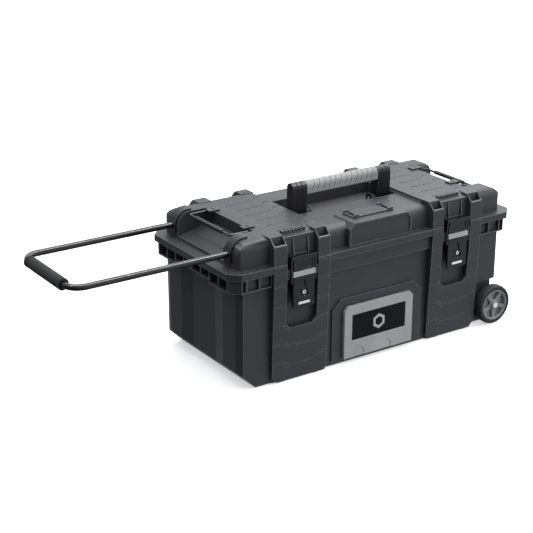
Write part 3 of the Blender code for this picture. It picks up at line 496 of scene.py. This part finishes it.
def lathe(shape, profile, centre, axis="Y", steps=40):
    """Turns a closed outline of radius and distance about an axis through a point."""
    corners = [shape.verts.new((radius, along, 0)) for radius, along in profile]
    ring = [shape.edges.new(pair) for pair in zip(corners, corners[1:] + corners[:1])]
    bmesh.ops.spin(shape, geom=corners + ring, cent=(0, 0, 0), axis=(0, 1, 0), dvec=(0, 0, 0),
                   angle=math.tau, steps=steps, use_merge=True, use_normal_flip=False)
    bmesh.ops.remove_doubles(shape, verts=shape.verts, dist=1e-6)
    turn = {"X": Matrix.Rotation(-math.pi / 2, 3, "Z"), "Y": Matrix.Identity(3)}[axis]
    bmesh.ops.rotate(shape, verts=shape.verts, matrix=turn)
    bmesh.ops.translate(shape, verts=shape.verts, vec=centre)
    bmesh.ops.recalc_face_normals(shape, faces=shape.faces)


def stadium(middle_y, low, high, half):
    """Outline of a bar with a round crown, as (y, z) points."""
    points = [(middle_y - half, low), (middle_y + half, low)]
    for step in range(13):
        angle = math.pi * step / 12
        points.append((middle_y + half * math.cos(angle), high - half + half * math.sin(angle)))
    return points


SLOT_STEPS = (0.0110, 0.0225)
SLOT_WIDTH, SLOT_DEPTH, SLOT_OVER = 0.0018, 0.0075, 0.0085
for name, hand in (("left", -1), ("right", 1)):
    node = "carry_handle_post_" + name
    post_low, post_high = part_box(node)
    post = merged_copy(node, "carry_post_" + name)
    crown = bmesh.new()
    inner_x = min(abs(post_low[0]), abs(post_high[0]))
    for step in SLOT_STEPS:
        low = hand * (inner_x + step) - SLOT_WIDTH / 2
        block(crown, (low, post_low[1] - 0.004, post_high[2] - SLOT_DEPTH),
              (low + SLOT_WIDTH, post_high[1] + 0.004, post_high[2] + SLOT_OVER))
    carve(post, crown)
    bevelled(post, 0.0008, 2, 40)
    fit(post, "carry_handle", black_nylon, "black_plastic", node)

RIBS, RIB_PITCH, RIB_LEAN = 11, 0.0136, 0.45
FULL_HALF, WAIST_HALF, VALLEY_WIDTH = 0.0125, 0.0115, 0.0024
VALLEY_FOOT, VALLEY_DEPTH, VALLEY_OVER, LEAN_CENTRE = 0.0065, 0.0011, 0.004, 0.0165
grip_low, grip_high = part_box("carry_handle_grip")
grip_y = (grip_low[1] + grip_high[1]) / 2
grip = merged_copy("carry_handle_grip", "soft_grip")
valleys = bmesh.new()
valley_z = grip_low[2] + VALLEY_FOOT
for rib in range(RIBS + 1):
    foot = (rib - RIBS / 2) * RIB_PITCH
    ring = stadium(grip_y, valley_z, grip_high[2] + VALLEY_OVER, FULL_HALF + VALLEY_OVER)[1:]
    ring.append((grip_y - FULL_HALF - VALLEY_OVER, valley_z))
    inner = stadium(grip_y, valley_z, grip_high[2] - VALLEY_DEPTH, WAIST_HALF)[1:]
    inner.append((grip_y - WAIST_HALF, valley_z))
    outline = [(foot + (z - grip_low[2] - LEAN_CENTRE) * RIB_LEAN, y, z)
               for y, z in ring + list(reversed(inner))]
    slab(valleys, outline, Vector((VALLEY_WIDTH, 0, 0)))
carve(grip, valleys)
shade(grip, 40)
fit(grip, "carry_handle", soft_grey, "grip_rubber", "carry_handle_grip")
dress(frame["nodes"]["carry_handle_core"], core_black)

# A black collar and a bright screw head close the inner end of each pivot. Each has a
# radius and a start and end along x.
PIVOT_DISCS = (("pivot_collar_", 0.0112, 0.0772, 0.0797, black_nylon, "black_plastic"),
               ("pivot_screw_", 0.0036, 0.0757, 0.0772, zinc, "bright_steel"))
RIM_CUT, DISC_BORE = 0.0005, 0.0004
for name, hand in (("left", -1), ("right", 1)):
    dress(frame["nodes"]["carry_handle_pin_" + name], zinc)
    pin_low, pin_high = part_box("carry_handle_pin_" + name)
    pin_y, pin_z = (pin_low[1] + pin_high[1]) / 2, (pin_low[2] + pin_high[2]) / 2
    for title, radius, start, end, material, slot in PIVOT_DISCS:
        half = (end - start) / 2
        disc = bmesh.new()
        lathe(disc, [(DISC_BORE, -half), (radius - RIM_CUT, -half), (radius, -half + RIM_CUT),
                     (radius, half - RIM_CUT), (radius - RIM_CUT, half), (DISC_BORE, half)],
              (hand * (start + end) / 2, pin_y, pin_z), "X", 32)
        part = settle(title + name, disc)
        shade(part, 40)
        fit(part, "lid", material, slot)

# ------------------------------------------------------------------ pull handle
# A bent steel tube with a glossy black powder coat slides in two channels under the lid.
# A foam sleeve with ringed ends covers the middle of its crosspiece.
gloss_black = moulding("gloss_black_coat", (0.006, 0.006, 0.008), roughness=0.21, grain=260,
                       depth=0.004, edge=(0.01, 0.01, 0.012), rounding=0.0003, sheen=0.4,
                       reach=0.0002)
coat = gloss_black.node_tree.nodes["Principled BSDF"]
coat.inputs["Coat Weight"].default_value = 0.25
coat.inputs["Coat Roughness"].default_value = 0.16
foam_black = moulding("foam_black", (0.018, 0.018, 0.020), roughness=0.80, grain=750,
                      depth=0.6, edge=(0.05, 0.05, 0.055), rounding=0.0008)


def frame_slot(node):
    """The material slot that the record gives a node."""
    return next(entry["material_slot"] for entry in frame["record"]["subparts"]
                if entry["node"] == node)


def stand_in(piece, body, material, node):
    """Finishes a piece that takes one frame node's place."""
    fit(piece, body, material, frame_slot(node), node)


def smooth_copy(node, name, body, material):
    """Stands a welded, smoothly shaded copy in for a turned or bent frame node."""
    piece = merged_copy(node, name)
    shade(piece, 40)
    stand_in(piece, body, material, node)


smooth_copy("pull_handle_tube", "bent_tube", "pull_handle", gloss_black)
END_RINGS, END_RING_PITCH, END_RING_DEPTH = 5, 0.0022, 0.0014
FOAM_BORE, FOAM_END, FOAM_SHOULDER = 0.0068, 0.0092, 0.0130
foam_low, foam_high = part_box("pull_handle_grip")
foam_centre = ((foam_low[0] + foam_high[0]) / 2, 0, (foam_low[2] + foam_high[2]) / 2)
foam_radius = (foam_high[2] - foam_low[2]) / 2
foam_half = (foam_high[1] - foam_low[1]) / 2
outer = [(FOAM_BORE, -foam_half), (FOAM_END, -foam_half)]
for ring in range(END_RINGS):
    start = -foam_half + END_RING_PITCH * ring
    outer += [(foam_radius, start + 0.0006), (foam_radius, start + 0.0015),
              (foam_radius - END_RING_DEPTH, start + 0.0019)]
outer += [(foam_radius, -foam_half + FOAM_SHOULDER)]
outer += [(radius, -along) for radius, along in reversed(outer)]
foam = bmesh.new()
lathe(foam, outer, foam_centre, "Y", 40)
foam_sleeve = settle("foam_sleeve", foam)
shade(foam_sleeve, 30)
fit(foam_sleeve, "pull_handle", foam_black, "foam", "pull_handle_grip")
for name in ("front", "back"):
    dress(frame["nodes"]["pull_handle_stop_" + name], black_nylon)
    dress(frame["nodes"]["tube_channel_" + name], core_black)
    bracket = merged_copy("tube_guide_" + name, "tube_bracket_" + name)
    bevelled(bracket, 0.0007, 2, 35)
    stand_in(bracket, "lid", black_nylon, "tube_guide_" + name)

# ------------------------------------------------------------------ end grips
# Each end grip is a black wire bail with a ribbed sleeve. It turns in two clamps on the
# lid, and each clamp has two screw holes in its top.
satin_wire = moulding("satin_black_wire", (0.012, 0.012, 0.014), roughness=0.30, grain=300,
                      depth=0.005, edge=(0.02, 0.02, 0.022), rounding=0.0003, sheen=0.5,
                      reach=0.0003)
SLEEVE_RINGS, SLEEVE_BORE, SLEEVE_GROOVE, SLEEVE_END = 20, 0.0028, 0.0009, 0.0008
SCREW_PLACES, SCREW_RADIUS, SCREW_DEPTH = (0.32, 0.68), 0.0021, 0.0030
for side in ("left", "right"):
    node = "end_grip_" + side + "_"
    smooth_copy(node + "wire", "bail_wire_" + side, "end_grip_" + side, satin_wire)
    low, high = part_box(node + "sleeve")
    middle = ((low[0] + high[0]) / 2, 0, (low[2] + high[2]) / 2)
    radius, half = (high[2] - low[2]) / 2, (high[1] - low[1]) / 2
    outline = [(SLEEVE_BORE, -half), (radius - SLEEVE_END, -half)]
    for ring in range(SLEEVE_RINGS):
        start = -half + 2 * half * ring / SLEEVE_RINGS
        outline += [(radius, start + 0.0010), (radius, start + 0.0032),
                    (radius - SLEEVE_GROOVE, start + 0.0040)]
    outline += [(radius - SLEEVE_GROOVE, half), (SLEEVE_BORE, half)]
    sleeve = bmesh.new()
    lathe(sleeve, outline, middle, "Y", 24)
    ribbed = settle("ribbed_sleeve_" + side, sleeve)
    shade(ribbed, 30)
    stand_in(ribbed, "end_grip_" + side, black_nylon, node + "sleeve")
    for place in ("front", "back"):
        name = node + "clamp_" + place
        low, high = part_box(name)
        clamp = merged_copy(name, "bail_clamp_" + side + "_" + place)
        screw_holes = bmesh.new()
        for step in SCREW_PLACES:
            spot = Vector(((low[0] + high[0]) / 2, low[1] + (high[1] - low[1]) * step,
                           high[2] - 0.0005))
            bmesh.ops.create_cone(screw_holes, cap_ends=True, segments=20, radius1=SCREW_RADIUS,
                                  radius2=SCREW_RADIUS, depth=SCREW_DEPTH,
                                  matrix=Matrix.Translation(spot))
        carve(clamp, screw_holes)
        bevelled(clamp, 0.0006, 2, 35)
        stand_in(clamp, "lid", black_nylon, name)

# ------------------------------------------------------------------ latches
# Each latch is a glossy black nylon lever with a grey band, hinged on the tub. Its hook
# has a rod along the top that rests at the lid's catch; the lever carries a bright
# padlock eye, a pull plate and an arrow-shaped recess.
glossy_nylon = moulding("glossy_black_nylon", (0.009, 0.009, 0.011), roughness=0.17,
                        grain=500, depth=0.03, edge=(0.13, 0.14, 0.16), rounding=0.0006,
                        sheen=0.35, reach=0.0006)
band_grey = moulding("band_grey", (0.46, 0.46, 0.46), roughness=0.38, grain=900,
                     depth=0.08, edge=(0.62, 0.62, 0.63), rounding=0.0005, sheen=0.5)
bright = moulding("bright_steel", (0.72, 0.72, 0.73), roughness=0.22, grain=500,
                  depth=0.05, edge=(0.85, 0.85, 0.86), rounding=0.0002, sheen=0.5)
bright.node_tree.nodes["Principled BSDF"].inputs["Metallic"].default_value = 1.0
DISH_HALF, DISH_DEPTH, DISH_FOOT, DISH_TOP = 0.0205, 0.0027, 0.0255, 0.0080
ROD_RADIUS, ROD_LENGTH, ROD_INSET = 0.0032, 0.0584, 0.0033
RECESS_DEPTH, RECESS_FOOT, RECESS_TIP = 0.0025, 0.0230, 0.0555
FOOT_HALF, TIP_HALF = 0.0120, 0.0018
for side in ("left", "right"):
    node = "latch_" + side + "_"
    low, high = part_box(node + "hook")
    middle = (low[0] + high[0]) / 2
    hook = merged_copy(node + "hook", "latch_hook_" + side)
    dish = bmesh.new()
    block(dish, (middle - DISH_HALF, low[1] - 0.01, high[2] - DISH_FOOT),
          (middle + DISH_HALF, low[1] + DISH_DEPTH, high[2] - DISH_TOP))
    carve(hook, dish)
    rod = bmesh.new()
    rod_place = Matrix.Translation((middle, low[1] + ROD_INSET, high[2] - ROD_RADIUS))
    bmesh.ops.create_cone(rod, cap_ends=True, segments=24, radius1=ROD_RADIUS,
                          radius2=ROD_RADIUS, depth=ROD_LENGTH,
                          matrix=rod_place @ Matrix.Rotation(math.pi / 2, 4, "Y"))
    carve(hook, rod, "UNION")
    bevelled(hook, 0.0011, 3, 35)
    stand_in(hook, "latch_" + side + "_catch", glossy_nylon, node + "hook")
    lever = merged_copy(node + "lever", "latch_lever_" + side)
    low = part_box(node + "lever")[0]
    recess = bmesh.new()
    floor_y, foot, tip = low[1] + RECESS_DEPTH, low[2] + RECESS_FOOT, low[2] + RECESS_TIP
    arrow = [(middle - FOOT_HALF, floor_y, foot), (middle + FOOT_HALF, floor_y, foot),
             (middle + TIP_HALF, floor_y, tip), (middle - TIP_HALF, floor_y, tip)]
    slab(recess, arrow, Vector((0, -0.01, 0)))
    carve(lever, recess)
    bevelled(lever, 0.0008, 2, 35)
    stand_in(lever, "latch_" + side, glossy_nylon, node + "lever")
    band = merged_copy(node + "band", "latch_band_" + side)
    bevelled(band, 0.0009, 3, 35)
    stand_in(band, "latch_" + side, band_grey, node + "band")
    for part in ("lever_pin", "hook_pin", "padlock_eye", "pull_plate"):
        dress(frame["nodes"][node + part], bright)

# ------------------------------------------------------------------ wheels
# Hard rubber tyres sit on grey polypropylene hubs with five deep pockets between spokes.
# The hubs turn on one steel axle, held by bright push-on caps.
tyre_rubber = moulding("tyre_rubber", (0.030, 0.030, 0.034), roughness=0.68, grain=900,
                       depth=0.35, edge=(0.07, 0.07, 0.075), rounding=0.0008)
hub_grey = moulding("hub_grey", (0.21, 0.215, 0.228), roughness=0.42, grain=900,
                    depth=0.15, edge=(0.34, 0.34, 0.35), rounding=0.0007, sheen=0.5)
# A pocket's outline, as distance from the axle and angle from the pocket's middle.
POCKET = ((0.0125, -15), (0.0125, 15), (0.0288, 28), (0.0297, 0), (0.0288, -28))
SPOKES, FIRST_POCKET, WEB_HALF = 5, 18, 0.0025
for name in ("front", "back"):
    low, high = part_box("wheel_hub_" + name)
    centre = Vector(((low[0] + high[0]) / 2, (low[1] + high[1]) / 2, (low[2] + high[2]) / 2))
    half = (high[1] - low[1]) / 2
    radius = (high[2] - low[2]) / 2
    profile = [(0.0044, -half), (0.0085, -half), (0.0095, -half + 0.0020),
               (0.0115, -half + 0.0030), (0.0300, -half + 0.0015), (0.0312, -half),
               (radius, -half)]
    profile += [(r, -along) for r, along in reversed(profile)]
    wheel = bmesh.new()
    lathe(wheel, profile, centre, "Y", 60)
    hub = settle("hub_" + name, wheel)
    pockets = bmesh.new()
    for spoke in range(SPOKES):
        outline = []
        for reach, spread in POCKET:
            angle = math.radians(72 * spoke + FIRST_POCKET + spread)
            outline.append((centre.x + reach * math.cos(angle),
                            centre.z + reach * math.sin(angle)))
        for hand in (-1, 1):
            slab(pockets, [(x, centre.y + hand * WEB_HALF, z) for x, z in outline],
                 Vector((0, hand * 0.02, 0)))
    carve(hub, pockets)
    shade(hub, 30)
    stand_in(hub, "wheel_" + name, hub_grey, "wheel_hub_" + name)
    low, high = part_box("wheel_tyre_" + name)
    half, radius = (high[1] - low[1]) / 2, (high[2] - low[2]) / 2
    profile = [(0.0337, -half + 0.0012), (0.0375, -half), (0.0398, -half + 0.0003),
               (0.0416, -half + 0.0016), (0.0426, -half + 0.0034), (radius, -0.0045)]
    profile += [(r, -along) for r, along in reversed(profile)]
    rubber = bmesh.new()
    lathe(rubber, profile, centre, "Y", 72)
    tyre = settle("tyre_" + name, rubber)
    shade(tyre, 40)
    stand_in(tyre, "wheel_" + name, tyre_rubber, "wheel_tyre_" + name)
    dress(frame["nodes"]["axle_cap_" + name], bright)
